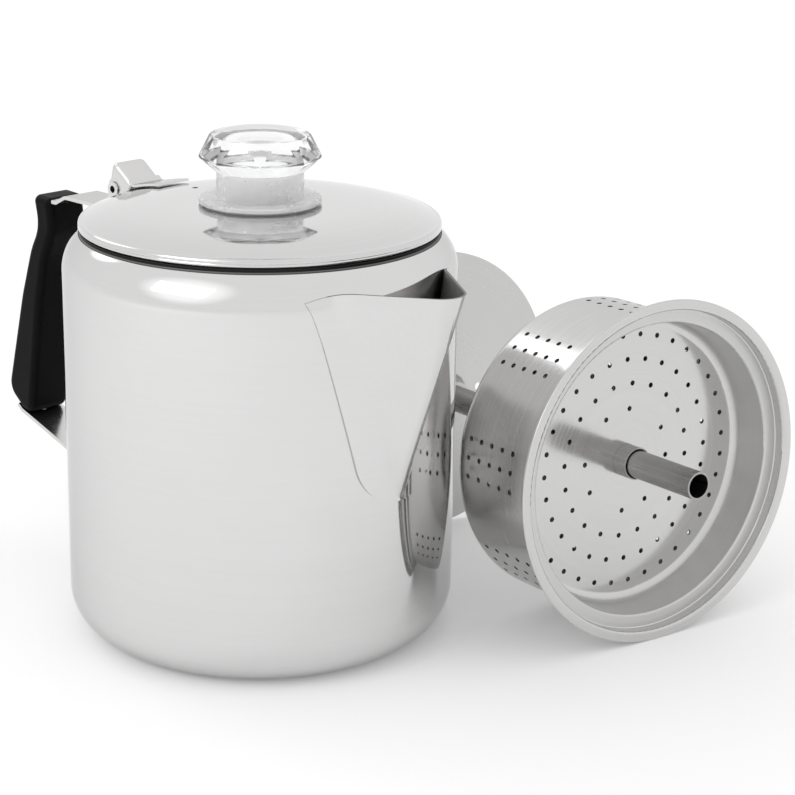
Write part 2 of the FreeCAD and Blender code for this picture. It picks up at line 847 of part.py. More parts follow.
pot_nodes = {
    "pot_body": make_pot_body,
    "pour_spout": make_pour_spout,
    "upper_strap": make_upper_strap,
    "lower_strap": make_lower_strap,
    "handle_grip": make_handle_grip,
    "grip_screw": make_grip_screw,
    "hinge_bracket": make_hinge_bracket,
    "hinge_pin": make_hinge_pin,
    "lid_cover": make_lid_cover,
    "lid_skirt": make_lid_skirt,
    "hinge_leaf": make_hinge_leaf,
    "sight_knob": make_sight_knob,
    "knob_gasket": make_knob_gasket,
}

brewing_nodes = {
    "pump_tube": make_pump_tube,
    "pump_foot": make_pump_foot,
    "foot_ferrule": make_foot_ferrule,
    "tube_collar": make_tube_collar,
    "basket_cup": make_basket_cup,
    "basket_sleeve": make_basket_sleeve,
    "spreader_plate": make_spreader_plate,
    "spreader_collar": make_spreader_collar,
}


def export(name, shape):
    print(name, "solids", len(shape.Solids), "valid", shape.isValid(), "volume",
          round(shape.Volume, 1))
    shape.exportStep("parts/" + name + ".step")


for name, make in pot_nodes.items():
    export(name, make())
for name, make in brewing_nodes.items():
    export(name, lay_down(make()))
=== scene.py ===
import json
import math

import bmesh
import bpy
from mathutils import Matrix, Vector


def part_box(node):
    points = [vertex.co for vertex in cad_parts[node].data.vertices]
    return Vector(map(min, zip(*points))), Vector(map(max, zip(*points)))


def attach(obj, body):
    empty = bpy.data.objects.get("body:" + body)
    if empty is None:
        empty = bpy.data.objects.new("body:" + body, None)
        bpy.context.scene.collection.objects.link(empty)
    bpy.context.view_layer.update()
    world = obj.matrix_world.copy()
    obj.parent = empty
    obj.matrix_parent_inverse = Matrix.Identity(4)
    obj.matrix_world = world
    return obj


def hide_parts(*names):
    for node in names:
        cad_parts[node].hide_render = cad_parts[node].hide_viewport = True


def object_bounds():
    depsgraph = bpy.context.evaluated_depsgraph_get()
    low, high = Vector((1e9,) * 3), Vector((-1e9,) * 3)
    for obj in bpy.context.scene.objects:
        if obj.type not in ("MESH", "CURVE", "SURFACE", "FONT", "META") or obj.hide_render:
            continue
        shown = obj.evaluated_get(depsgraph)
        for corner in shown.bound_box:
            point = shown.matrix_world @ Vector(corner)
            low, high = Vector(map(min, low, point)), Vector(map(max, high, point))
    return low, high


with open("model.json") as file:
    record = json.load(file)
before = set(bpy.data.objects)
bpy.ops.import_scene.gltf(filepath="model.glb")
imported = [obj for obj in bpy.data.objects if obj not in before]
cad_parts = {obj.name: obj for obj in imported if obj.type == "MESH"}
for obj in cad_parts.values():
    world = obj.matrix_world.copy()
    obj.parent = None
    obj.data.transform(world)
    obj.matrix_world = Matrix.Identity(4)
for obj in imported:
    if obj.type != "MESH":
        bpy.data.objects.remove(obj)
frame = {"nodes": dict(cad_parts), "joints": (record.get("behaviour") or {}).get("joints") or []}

cad_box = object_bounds()

# Visual model of a camping coffee percolator. Lengths are in millimetres unless a name
# ends in _m; make_mesh turns them into metres. The pot's axis is Z, the spout is at +X and
# the handle at -X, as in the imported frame.
MM = 0.001

# ---- sizes read from the frame ---------------------------------------------------------


def low(node):
    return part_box(node)[0] / MM


def high(node):
    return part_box(node)[1] / MM


body_radius = high("pot_body").x - 0.01
body_height = high("pot_body").z
lid_radius = high("lid_cover").x
lid_top = high("lid_cover").z
lid_hem = low("lid_cover").z
spout_top = high("pour_spout").z
spout_tip = high("pour_spout").x
spout_foot = low("pour_spout").z
knob_flange_radius = high("sight_knob").x
knob_top = high("sight_knob").z
knob_low = low("sight_knob").z

joints = {joint["name"]: joint for joint in frame["joints"]}
set_axis = Vector(joints["basket_slide"]["axis"]).normalized()
tube_start = 3.0
tube_length = 148.0
tube_middle = (low("pump_tube") + high("pump_tube")) / 2
set_foot = tube_middle - set_axis * (tube_start + tube_length) / 2

# ---- mesh helpers ----------------------------------------------------------------------


def make_mesh(name, verts, faces, sharp=32.0):
    """Object from millimetre points, smooth except at edges turning more than sharp degrees."""
    mesh = bpy.data.meshes.new(name)
    mesh.from_pydata([Vector(v) * MM for v in verts], [], faces)
    mesh.validate()
    piece = bpy.data.objects.new(name, mesh)
    bpy.context.scene.collection.objects.link(piece)
    clean(piece, sharp)
    return piece


def clean(piece, sharp=32.0):
    """Merges doubled points, turns the faces outward and sets the smooth shading."""
    work = bmesh.new()
    work.from_mesh(piece.data)
    bmesh.ops.remove_doubles(work, verts=work.verts, dist=0.002 * MM)
    bmesh.ops.recalc_face_normals(work, faces=work.faces)
    work.to_mesh(piece.data)
    work.free()
    piece.data.shade_smooth()
    piece.data.set_sharp_from_angle(angle=math.radians(sharp))


def apply_modifiers(piece):
    depsgraph = bpy.context.evaluated_depsgraph_get()
    mesh = bpy.data.meshes.new_from_object(piece.evaluated_get(depsgraph))
    old = piece.data
    piece.modifiers.clear()
    piece.data = mesh
    bpy.data.meshes.remove(old)


def carve(piece, cutters):
    """Cuts the cutter pieces out of piece and deletes them."""
    for cutter in cutters:
        cut = piece.modifiers.new("carve", "BOOLEAN")
        cut.operation = "DIFFERENCE"
        cut.solver = "EXACT"
        cut.object = cutter
        apply_modifiers(piece)
        bpy.data.objects.remove(cutter)


def soften(piece, width, segments=3, angle=30.0, sharp=32.0):
    """Rounds the edges that turn more than angle degrees."""
    bevel = piece.modifiers.new("soften", "BEVEL")
    bevel.width = width * MM
    bevel.segments = segments
    bevel.limit_method = "ANGLE"
    bevel.angle_limit = math.radians(angle)
    bevel.harden_normals = False
    apply_modifiers(piece)
    clean(piece, sharp)


def join(piece, others, sharp=32.0):
    """Makes one solid of piece and the others and deletes the others."""
    for other in others:
        union = piece.modifiers.new("join", "BOOLEAN")
        union.operation = "UNION"
        union.solver = "EXACT"
        union.object = other
        apply_modifiers(piece)
        bpy.data.objects.remove(other)
    clean(piece, sharp)


def hull(name, points, sharp=32.0):
    """Convex solid round a set of points, with its flat faces kept whole."""
    work = bmesh.new()
    for point in points:
        work.verts.new(Vector(point) * MM)
    bmesh.ops.convex_hull(work, input=work.verts)
    loose = [vert for vert in work.verts if not vert.link_faces]
    bmesh.ops.delete(work, geom=loose, context="VERTS")
    bmesh.ops.dissolve_limit(work, angle_limit=math.radians(1.0), verts=work.verts, edges=work.edges)
    mesh = bpy.data.meshes.new(name)
    work.to_mesh(mesh)
    work.free()
    piece = bpy.data.objects.new(name, mesh)
    bpy.context.scene.collection.objects.link(piece)
    clean(piece, sharp)
    return piece


def arc(cx, cz, radius, start, end, steps=12):
    points = []
    for index in range(steps + 1):
        angle = math.radians(start + (end - start) * index / steps)
        points.append((cx + radius * math.cos(angle), cz + radius * math.sin(angle)))
    return points


def rounded(corners, steps=6):
    """Closed outline from (x, z, corner radius) entries."""
    outline = []
    count = len(corners)
    for index in range(count):
        x, z, radius = corners[index]
        here = Vector((x, z))
        if radius <= 0:
            outline.append((x, z))
            continue
        before = (Vector(corners[index - 1][:2]) - here).normalized()
        after = (Vector(corners[(index + 1) % count][:2]) - here).normalized()
        half = before.angle(after) / 2
        reach = radius / math.tan(half)
        start = here + before * reach
        end = here + after * reach
        middle = here + (before + after).normalized() * (radius / math.sin(half))
        first = start - middle
        turn = first.angle_signed(end - middle)
        for step in range(steps + 1):
            swung = first.copy()
            swung.rotate(Matrix.Rotation(-turn * step / steps, 2))
            outline.append((middle.x + swung.x, middle.y + swung.y))
    return outline


def lathe(name, profile, place=None, segments=192, sharp=32.0):
    """Closed (radius, height) profile turned about Z, then moved by place."""
    place = place or Matrix.Identity(4)
    verts = []
    faces = []
    for radius, height in profile:
        for index in range(segments):
            angle = 2 * math.pi * index / segments
            point = Vector((radius * math.cos(angle), radius * math.sin(angle), height))
            verts.append(place @ point)
    count = len(profile)
    for ring in range(count):
        after = (ring + 1) % count
        if profile[ring][0] < 1e-6 and profile[after][0] < 1e-6:
            continue
        for index in range(segments):
            turn = (index + 1) % segments
            faces.append((ring * segments + index, ring * segments + turn,
                          after * segments + turn, after * segments + index))
    return make_mesh(name, verts, faces, sharp)


def prism(name, outline, start, end, axis="Y"):
    """Solid with a closed (u, z) outline, between start and end along X or Y."""
    verts = []
    for place in (start, end):
        for u, z in outline:
            verts.append((u, place, z) if axis == "Y" else (place, u, z))
    count = len(outline)
    faces = [tuple(range(count)), tuple(range(2 * count - 1, count - 1, -1))]
    for index in range(count):
        after = (index + 1) % count
        faces.append((index, after, count + after, count + index))
    return make_mesh(name, verts, faces)


def skin_grid(rows, closed_across=False):
    """Verts and faces of a grid given as rows of points."""
    verts = [point for row in rows for point in row]
    width = len(rows[0])
    faces = []
    for line in range(len(rows) - 1):
        for index in range(width if closed_across else width - 1):
            after = (index + 1) % width
            faces.append((line * width + index, line * width + after,
                          (line + 1) * width + after, (line + 1) * width + index))
    return verts, faces


def finish_piece(piece, node, body, material):
    """Gives a new piece its material and slot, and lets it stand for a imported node."""
    piece.data.materials.clear()
    piece.data.materials.append(material)
    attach(piece, body)
    if node:
        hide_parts(node)
    return piece


def second_material(piece, material, chosen):
    """Gives material to the faces whose centre, in millimetres, chosen accepts."""
    piece.data.materials.append(material)
    index = len(piece.data.materials) - 1
    for face in piece.data.polygons:
        if chosen(face.center / MM):
            face.material_index = index


def paint(node, material):
    """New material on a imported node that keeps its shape."""
    piece = frame["nodes"][node]
    for holder in piece.material_slots:
        holder.material = material


# ---- materials -------------------------------------------------------------------------


class Nodes:
    """Small helper that adds and links shader nodes."""

    def __init__(self, name):
        self.material = bpy.data.materials.new(name)
        self.material.use_nodes = True
        self.tree = self.material.node_tree
        self.shader = self.tree.nodes["Principled BSDF"]

    def add(self, kind, **settings):
        node = self.tree.nodes.new(kind)
        for key, value in settings.items():
            setattr(node, key, value)
        return node

    def link(self, source, target):
        self.tree.links.new(source, target)

    def place(self):
        return self.add("ShaderNodeTexCoord").outputs["Object"]

    def math(self, operation, first, second):
        node = self.add("ShaderNodeMath", operation=operation)
        for socket, value in zip(node.inputs, (first, second)):
            if isinstance(value, (int, float)):
                socket.default_value = value
            else:
                self.link(value, socket)
        return node.outputs[0]

    def noise(self, vector, scale, detail=4.0, roughness=0.55):
        node = self.add("ShaderNodeTexNoise")
        node.inputs["Scale"].default_value = scale
        node.inputs["Detail"].default_value = detail
        node.inputs["Roughness"].default_value = roughness
        self.link(vector, node.inputs["Vector"])
        return node.outputs["Fac"]

    def spread(self, value, low_value, high_value, start=0.3, end=0.7):
        node = self.add("ShaderNodeMapRange")
        node.inputs["From Min"].default_value = start
        node.inputs["From Max"].default_value = end
        node.inputs["To Min"].default_value = low_value
        node.inputs["To Max"].default_value = high_value
        self.link(value, node.inputs["Value"])
        return node.outputs["Result"]

    def tint(self, value, dark, light):
        node = self.add("ShaderNodeValToRGB")
        node.color_ramp.elements[0].position = 0.3
        node.color_ramp.elements[1].position = 0.7
        node.color_ramp.elements[0].color = (*dark, 1.0)
        node.color_ramp.elements[1].color = (*light, 1.0)
        self.link(value, node.inputs["Fac"])
        self.link(node.outputs["Color"], self.shader.inputs["Base Color"])

    def bump(self, height, distance, strength=0.3):
        node = self.add("ShaderNodeBump")
        node.inputs["Strength"].default_value = strength
        node.inputs["Distance"].default_value = distance
        self.link(height, node.inputs["Height"])
        self.link(node.outputs["Normal"], self.shader.inputs["Normal"])

    def vector(self, operation, first, second=None, scale=None):
        """Vector maths node on a socket and on a second socket, a constant or a scale."""
        node = self.add("ShaderNodeVectorMath", operation=operation)
        self.link(first, node.inputs[0])
        if isinstance(second, tuple):
            node.inputs[1].default_value = second
        elif second is not None:
            self.link(second, node.inputs[1])
        if scale is not None:
            node.inputs["Scale"].default_value = scale
        return node

    def from_axis(self, origin, axis):
        """Offset from the origin, and its cross product with the axis."""
        offset = self.vector("SUBTRACT", self.place(), origin).outputs["Vector"]
        across = self.vector("CROSS_PRODUCT", offset, axis).outputs["Vector"]
        return offset, across

    def turned_grain(self, origin, axis, fineness, drift):
        """Coordinates that change fast along the axis and outward, and slowly round it."""
        offset, across = self.from_axis(origin, axis)
        along = self.vector("DOT_PRODUCT", offset, axis).outputs["Value"]
        outward = self.vector("LENGTH", across).outputs["Value"]
        slow = self.vector("SCALE", offset, scale=drift).outputs["Vector"]
        fast = self.add("ShaderNodeCombineXYZ")
        self.link(self.math("MULTIPLY", along, fineness), fast.inputs["X"])
        self.link(self.math("MULTIPLY", outward, fineness), fast.inputs["Y"])
        return self.vector("ADD", fast.outputs["Vector"], slow).outputs["Vector"]

    def drawn_grain(self, origin, axis, fineness, drift):
        """Coordinates that change fast round the axis and slowly along it."""
        offset, across = self.from_axis(origin, axis)
        fast = self.vector("SCALE", across, scale=fineness).outputs["Vector"]
        slow = self.vector("SCALE", offset, scale=drift).outputs["Vector"]
        return self.vector("ADD", fast, slow).outputs["Vector"]

    def reach(self, origin, axis):
        """Distance from an axis."""
        across = self.from_axis(origin, axis)[1]
        return self.vector("LENGTH", across).outputs["Value"]

    def stretched(self, scale):
        return self.vector("MULTIPLY", self.place(), scale).outputs["Vector"]


def metal(name, tone, roughness, grain, bump_depth, bump_strength=0.2, contrast=0.02, edge=0.8):
    """Metal whose roughness, colour and surface follow a grain given by a function."""
    nodes = Nodes(name)
    nodes.shader.inputs["Metallic"].default_value = 1.0
    nodes.shader.inputs["Specular Tint"].default_value = (edge, edge, edge, 1.0)
    vector = grain(nodes)
    fine = nodes.noise(vector, 1.0, 5.0)
    cloud = nodes.noise(nodes.place(), 45.0, 3.0)
    mixed = nodes.math("ADD", nodes.math("MULTIPLY", fine, 0.6), nodes.math("MULTIPLY", cloud, 0.4))
    dark = [c - contrast for c in tone]
    light = [c + contrast for c in tone]
    nodes.tint(mixed, dark, light)
    nodes.link(nodes.spread(mixed, roughness * 0.75, roughness * 1.3), nodes.shader.inputs["Roughness"])
    nodes.bump(fine, bump_depth, bump_strength)
    return nodes.material


def pot_grain(nodes):
    return nodes.turned_grain((0, 0, 0), (0, 0, 1), 900.0, 12.0)


def set_grain(nodes):
    return nodes.turned_grain(tuple(set_foot * MM), tuple(set_axis), 1600.0, 14.0)


def tube_grain(nodes):
    return nodes.drawn_grain(tuple(set_foot * MM), tuple(set_axis), 1400.0, 18.0)


def spun_sheet():
    """Spun sheet that is bright on its plate and duller on the dish wall outside it."""
    nodes = Nodes("spun_sheet")
    nodes.shader.inputs["Metallic"].default_value = 1.0
    fine = nodes.noise(set_grain(nodes), 1.0, 5.0)
    nodes.tint(fine, (0.58, 0.576, 0.572), (0.62, 0.616, 0.612))
    reach = nodes.reach(tuple(set_foot * MM), tuple(set_axis))
    wall_share = nodes.spread(reach, 0.0, 0.26, 0.0475, 0.0490)
    brim_share = nodes.spread(reach, 0.0, -0.16, 0.0535, 0.0550)
    grain_share = nodes.spread(fine, 0.11, 0.19)
    total = nodes.math("ADD", nodes.math("ADD", wall_share, brim_share), grain_share)
    nodes.link(total, nodes.shader.inputs["Roughness"])
    nodes.bump(fine, 0.00004, 0.12)
    return nodes.material


def pressed_grain(nodes):
    return nodes.stretched((160.0, 1400.0, 700.0))


def make_materials():
    steel = (0.675, 0.672, 0.67)
    return {
        "polished": metal("polished_steel", steel, 0.06, pot_grain, 0.00002, 0.04, 0.012),
        # inside: rougher unpolished steel whose dark tone is painted shade for the pot's inside, neck,
        # lip and the lid's skirt
        "inside": metal("unpolished_steel_painted_shade", (0.16, 0.155, 0.15), 0.45, pot_grain, 0.00004, 0.2, 0.02),
        "spout": metal("spout_steel", steel, 0.07, pot_grain, 0.00002, 0.04, 0.012),
        # shadow: near-black painted shadow of the lid's rim on the pot's neck
        "shadow": metal("painted_shadow_neck", (0.03, 0.03, 0.03), 0.5, pot_grain, 0.00004, 0.2, 0.01),
        # throat: rougher inner steel of the spout, darkened as painted shade for its dark opening
        "throat": metal("spout_throat_painted_shade", (0.2, 0.197, 0.195), 0.36, pot_grain, 0.00004, 0.15, 0.02),
        "lid": metal("lid_steel", (0.635, 0.632, 0.63), 0.07, pot_grain, 0.00002, 0.04, 0.012, 1.0),
        "satin": metal("pressed_steel", (0.66, 0.655, 0.65), 0.2, pressed_grain, 0.00004, 0.12),
        "drum": metal("basket_sheet", (0.62, 0.615, 0.61), 0.22, set_grain, 0.00005, 0.2, 0.03),
        "spun": spun_sheet(),
        "tube": metal("drawn_tube", (0.38, 0.375, 0.37), 0.24, tube_grain, 0.00005, 0.2, 0.07),
        "foot": metal("foot_sheet", (0.56, 0.556, 0.552), 0.24, set_grain, 0.00003, 0.1, 0.015),
        "phenolic": phenolic(),
        "clear": clear_plastic(),
        "milky": milky_plastic(),
        "seal": seal_rubber(),
    }


def phenolic():
    nodes = Nodes("black_phenolic")
    speckle = nodes.noise(nodes.place(), 900.0, 6.0, 0.7)
    cloud = nodes.noise(nodes.place(), 60.0, 3.0)
    nodes.tint(speckle, (0.0008, 0.0008, 0.0008), (0.002, 0.002, 0.0021))
    nodes.link(nodes.spread(cloud, 0.38, 0.52), nodes.shader.inputs["Roughness"])
    nodes.shader.inputs["Specular IOR Level"].default_value = 0.08
    nodes.bump(speckle, 0.00004, 0.25)
    return nodes.material


def clear_plastic():
    nodes = Nodes("clear_moulding")
    nodes.shader.inputs["Transmission Weight"].default_value = 1.0
    nodes.shader.inputs["IOR"].default_value = 1.49
    cloud = nodes.noise(nodes.place(), 120.0, 4.0)
    nodes.tint(cloud, (0.965, 0.97, 0.972), (0.99, 0.992, 0.995))
    nodes.link(nodes.spread(cloud, 0.06, 0.12), nodes.shader.inputs["Roughness"])
    nodes.bump(cloud, 0.00005, 0.08)
    return nodes.material


def milky_plastic():
    nodes = Nodes("milky_moulding")
    nodes.shader.inputs["Transmission Weight"].default_value = 0.6
    nodes.shader.inputs["IOR"].default_value = 1.45
    cloud = nodes.noise(nodes.place(), 60.0, 3.0)
    nodes.tint(cloud, (0.92, 0.92, 0.925), (0.95, 0.95, 0.955))
    nodes.link(nodes.spread(cloud, 0.24, 0.3), nodes.shader.inputs["Roughness"])
    nodes.bump(cloud, 0.00001, 0.05)
    return nodes.material


def seal_rubber():
    nodes = Nodes("grey_seal")
    cloud = nodes.noise(nodes.place(), 700.0, 4.0)
    nodes.tint(cloud, (0.28, 0.28, 0.285), (0.36, 0.36, 0.365))
    nodes.link(nodes.spread(cloud, 0.5, 0.65), nodes.shader.inputs["Roughness"])
    nodes.bump(cloud, 0.00003, 0.2)
    return nodes.material


# ---- pot -------------------------------------------------------------------------------
base_corner = 15.8
shoulder_turn = 16.25
mouth_radius = 58.8
lip_radius = 59.5
lip_collar = 1.6
wall = 0.8
ledge_radius = 59.9
neck_radius = 58.8
neck_wall = 0.45
window_top = 122.0
window_foot = 76.0
window_half_width = 17.0
inside_band = 1.85
shadow_band = 1.3
shoulder_axis = body_radius - shoulder_turn
shoulder_swing = math.degrees(math.acos((lip_radius - shoulder_axis) / shoulder_turn))
shoulder_height = body_height - lip_collar - shoulder_turn * math.sin(math.radians(shoulder_swing))


def pot_radius(height):
    """Radius of the pot's outside at a height above its base corner."""
    rise = height - shoulder_height
    if rise <= 0:
        return body_radius
    rise = min(rise, shoulder_turn * math.sin(math.radians(shoulder_swing)))
    return shoulder_axis + math.sqrt(shoulder_turn ** 2 - rise ** 2)


def straight_run(radius, start, end, steps):
    return [(radius, start + (end - start) * index / steps) for index in range(1, steps)]


def make_pot_body():
    """Pot whose shoulder ends in a ledge, with a narrower neck and rolled lip inside it."""
    corner_axis = body_radius - base_corner
    inner_swing = math.degrees(math.acos((mouth_radius - shoulder_axis) / (shoulder_turn - wall)))
    ledge_swing = math.degrees(math.acos((ledge_radius - shoulder_axis) / shoulder_turn))
    ledge = shoulder_height + shoulder_turn * math.sin(math.radians(ledge_swing))
    outside = [(0.0, 0.0), (corner_axis - 8, 0.0)]
    outside += arc(corner_axis, base_corner, base_corner, -90, 0, 20)
    outside += straight_run(body_radius, base_corner, shoulder_height, 16)
    outside += arc(shoulder_axis, shoulder_height, shoulder_turn, 0, ledge_swing, 28)
    outside += arc(ledge_radius - 0.5, ledge - 0.05, 0.4, 30, 90, 5)
    outside += [(neck_radius + 0.35, ledge + 0.3), (neck_radius + 0.1, ledge + 0.5)]
    outside += [(neck_radius, ledge + 0.8), (neck_radius, ledge + 1.1)]
    outside += arc(neck_radius - 0.05, body_height - 0.35, 0.35, 0, 180, 8)
    neck_inside = neck_radius - neck_wall
    inside = [(neck_inside, ledge - 0.2)]
    inside += arc(shoulder_axis, shoulder_height, shoulder_turn - wall, inner_swing, 0, 16)
    inside += straight_run(body_radius - wall, shoulder_height, base_corner, 8)
    inside += arc(corner_axis, base_corner, base_corner - wall, 0, -90, 10)
    inside += [(0.0, wall)]
    pot = lathe("pot_shell", outside + inside, segments=256)
    window = rounded([(0.0, window_foot, 2.0), (window_half_width, window_top, 4.0),
                      (-window_half_width, window_top, 4.0)])
    carve(pot, [prism("window", window, body_radius / 2, body_radius + 17.0, "X")])
    clean(pot)
    return pot


def is_pot_inside(centre):
    """True for a point on the inside of the pot's sheet, or on its neck and lip, which get rougher
    steel darkened as painted shade.
    """
    reach = math.hypot(centre.x, centre.y)
    if centre.z > body_height - inside_band:
        return reach < ledge_radius - 0.6
    if centre.z < wall / 2:
        return False
    if centre.z < base_corner:
        drop = base_corner - centre.z
        return math.hypot(max(reach - body_radius + base_corner, 0.0), drop) < base_corner - wall / 2
    return reach < pot_radius(centre.z) - wall / 2


def is_under_lid(centre):
    """True for a point of the neck that gets the near-black painted shadow of the lid's rim."""
    reach = math.hypot(centre.x, centre.y)
    return centre.z > body_height - shadow_band and reach > neck_radius - neck_wall / 2


# ---- lid -------------------------------------------------------------------------------
lid_rise = 4.9
lid_power = 5.2
lid_sheet = 0.8
rim_turn = 1.5
rim_bead = 0.55
knob_hole = 13.3
vent_x = -32.7
vent_radius = 1.0
notch_x = -56.8
notch_half_width = 5.0
slot_reach = 15.6
slot_half_width = 4.6
cut_low = 130.0
cut_high = 150.0


def lid_height(radius):
    return lid_top - lid_rise * (radius / lid_radius) ** lid_power


def upright(start, end):
    """Outline of a cutter that runs through the lid from start to end."""
    return [(start, cut_low), (end, cut_low), (end, cut_high), (start, cut_high)]


def make_lid_cover():
    """Domed sheet that turns down into a short rim with a rolled edge."""
    edge = lid_radius - rim_turn
    turn_centre = lid_height(edge) - rim_turn + 0.05
    outside = [(knob_hole, lid_height(knob_hole) - 0.2), (knob_hole + 0.2, lid_height(knob_hole))]
    steps = 40
    for index in range(1, steps + 1):
        reach = knob_hole + (edge + 0.5 - knob_hole) * index / steps
        outside.append((reach, lid_height(reach)))
    outside += arc(edge, turn_centre, rim_turn, 60, 0, 10)
    bead_top = lid_hem + 2 * rim_bead
    outside += [(lid_radius, bead_top + 0.1), (lid_radius - 0.16, bead_top - 0.1)]
    outside += arc(lid_radius - rim_bead, lid_hem + rim_bead, rim_bead, 40, -180, 16)
    inner_edge = lid_radius - 2 * rim_bead
    inside = [(inner_edge, turn_centre), (inner_edge - 0.5, lid_height(edge) - lid_sheet - 0.1)]
    for index in range(steps + 1):
        reach = edge - 0.6 - (edge - 0.6 - knob_hole) * index / steps
        inside.append((reach, lid_height(reach) - lid_sheet))
    lid = lathe("lid_shell", outside + inside, segments=256)
    notch = upright(-70.0, notch_x)
    vent = lathe("vent", upright(0.0, vent_radius), Matrix.Translation((vent_x, 0, 0)), 32)
    slot = upright(-slot_reach, slot_reach)
    carve(lid, [prism("notch", notch, -notch_half_width, notch_half_width), vent,
                prism("slot", slot, -slot_half_width, slot_half_width)])
    clean(lid)
    return lid


# ---- sight knob ------------------------------------------------------------------------
girdle_height = 161.0
girdle_radius = 20.0
neck_of_knob = 14.3
knob_bore = 11.6
knob_turn = 3.0
crown_radius = 16.4
table_radius = 12.0
plug_radius = 13.0
lug_reach = 15.2
lug_half_width = 4.2
lug_height = 1.6
flange_low = knob_low + 4.4
flange_high = flange_low + 1.7


def ring(count, radius, height, turn=knob_turn):
    points = []
    for index in range(count):
        angle = math.radians(turn) + 2 * math.pi * index / count
        points.append((radius * math.cos(angle), radius * math.sin(angle), height))
    return points


def make_sight_knob():
    """Faceted head on a round neck, with a flange, a plug, two locking lugs and a bore."""
    points = ring(16, neck_of_knob + 0.9, girdle_height - 4.4)
    points += ring(8, girdle_radius, girdle_height - 0.5) + ring(8, girdle_radius, girdle_height + 0.3)
    points += ring(16, crown_radius, knob_top - 0.9) + ring(16, table_radius, knob_top)
    head = hull("knob_head", points, 9.0)
    soften(head, 0.28, 2, 9.0, 9.0)
    stem = [(0.0, knob_low)]
    stem += arc(plug_radius - 0.4, knob_low + 0.4, 0.4, -90, 0, 4) + [(plug_radius, flange_low)]
    stem += arc(knob_flange_radius - 0.45, flange_low + 0.45, 0.45, -90, 0, 6)
    stem += arc(knob_flange_radius - 0.6, flange_high - 0.6, 0.6, 0, 90, 8)
    stem += arc(neck_of_knob + 0.7, flange_high + 0.7, 0.7, 270, 180, 8)
    stem += [(neck_of_knob, girdle_height - 3.0), (0.0, girdle_height - 3.0)]
    neck = lathe("knob_stem", stem, segments=128, sharp=9.0)
    lug_top = knob_low + lug_height
    lug = rounded([(-lug_reach, knob_low, 0.5), (lug_reach, knob_low, 0.5),
                   (lug_reach, lug_top, 0.5), (-lug_reach, lug_top, 0.5)], 3)
    lugs = prism("lugs", lug, -lug_half_width, lug_half_width, "X")
    join(head, [neck, lugs], 9.0)
    top = girdle_height - 4.1
    bore = [(0.0, knob_low - 1.0), (knob_bore, knob_low - 1.0), (knob_bore, top - 3.0)]
    bore += arc(knob_bore - 3.0, top - 3.0, 3.0, 0, 60, 8)
    bore += [(knob_bore - 5.0, top + 0.4), (0.0, top + 0.6)]
    carve(head, [lathe("bore", bore, segments=96, sharp=9.0)])
    clean(head, 9.0)
    head.name = "knob_moulding"
    return head


# ---- spout -----------------------------------------------------------------------------
spout_sheet = 0.8
spout_half_angle = math.radians(34.5)
spout_nose = 2.6
nose_at_top = 8.0
tip_pull = 1.3
corner_drop = 2.6
drop_depth = 16.0
drop_start = 0.55
nose_start = 90.0
seam_half_angle = math.radians(14.7)
seam_turn = 17.5
ridge_foot = 62.0
spout_lean = (spout_tip - body_radius - spout_sheet) / (spout_top - ridge_foot)


def smooth_max(first, second, blend):
    gap = max(blend - abs(first - second), 0.0) / blend
    return max(first, second) + gap * gap * blend / 4


def wedge_radius(angle, height, shrink):
    """Distance from the pot's axis to the leaning V at a heading, moved inward by shrink."""
    rise = min(max((height - nose_start) / (spout_top - nose_start), 0.0), 1.0)
    full = spout_nose + (nose_at_top - spout_nose) * rise * rise
    nose = full - shrink
    ridge = body_radius + spout_sheet + spout_lean * (height - ridge_foot)
    centre = ridge - full - tip_pull * rise * rise
    turned = abs(angle)
    touch = math.atan2(nose * math.cos(spout_half_angle), centre + nose * math.sin(spout_half_angle))
    if turned < touch:
        return centre * math.cos(turned) + math.sqrt(nose ** 2 - (centre * math.sin(turned)) ** 2)
    apex = centre + nose / math.sin(spout_half_angle)
    return apex * math.sin(spout_half_angle) / math.sin(spout_half_angle + turned)


def spout_radius(angle, height, shrink):
    hug = pot_radius(height) + (spout_sheet if shrink == 0 else 0.02)
    lifted = min(max((height - ridge_foot + 1.0) / 14.0, 0.0), 1.0)
    blend = 0.6 + 3.4 * lifted
    return smooth_max(hug, wedge_radius(angle, height, shrink), blend)


def seam_angle(height):
    """Half the heading that the spout's flange covers at a height."""
    middle = spout_foot + seam_turn
    apex = middle - seam_turn / math.sin(seam_half_angle)
    tangent = middle - seam_turn * math.sin(seam_half_angle)
    if height < tangent:
        reach = math.sqrt(max(seam_turn ** 2 - (middle - height) ** 2, 0.0))
    else:
        reach = (height - apex) * math.tan(seam_half_angle)
    return math.asin(reach / (pot_radius(height) + spout_sheet))


def rim_drop(share, level):
    """How far the rim and the sheet just under it sink towards the two seams."""
    outward = max(share - drop_start, 0.0) / (1.0 - drop_start)
    near_rim = min(max((level - spout_top + drop_depth) / drop_depth, 0.0), 1.0)
    return corner_drop * outward ** 1.6 * near_rim


def is_spout_inside(centre):
    """True for a point on the inner side of the spout's sheet."""
    angle = math.atan2(centre.y, centre.x)
    return math.hypot(centre.x, centre.y) < spout_radius(angle, centre.z, 0.0) - spout_sheet / 2


def spout_rows(shrink):
    """Rows of points up the spout's outer side, or its inner side when shrink is its sheet."""
    columns = 60
    heights = []
    for index in range(1, 25):
        turn = math.pi / 2 * index / 24
        heights.append(spout_foot + seam_turn * (1 - math.cos(turn)) * 0.75)
    while heights[-1] < spout_top - 1.0:
        heights.append(heights[-1] + 0.9)
    heights.append(spout_top)
    rows = []
    for level in heights:
        half = seam_angle(level)
        row = []
        for column in range(-columns, columns + 1):
            share = column / columns
            angle = half * (0.22 * share + 0.78 * share ** 3)
            height = level - rim_drop(abs(angle) / half, level)
            radius = spout_radius(angle, height, shrink)
            row.append((radius * math.cos(angle), radius * math.sin(angle), height))
        rows.append(row)
    return rows


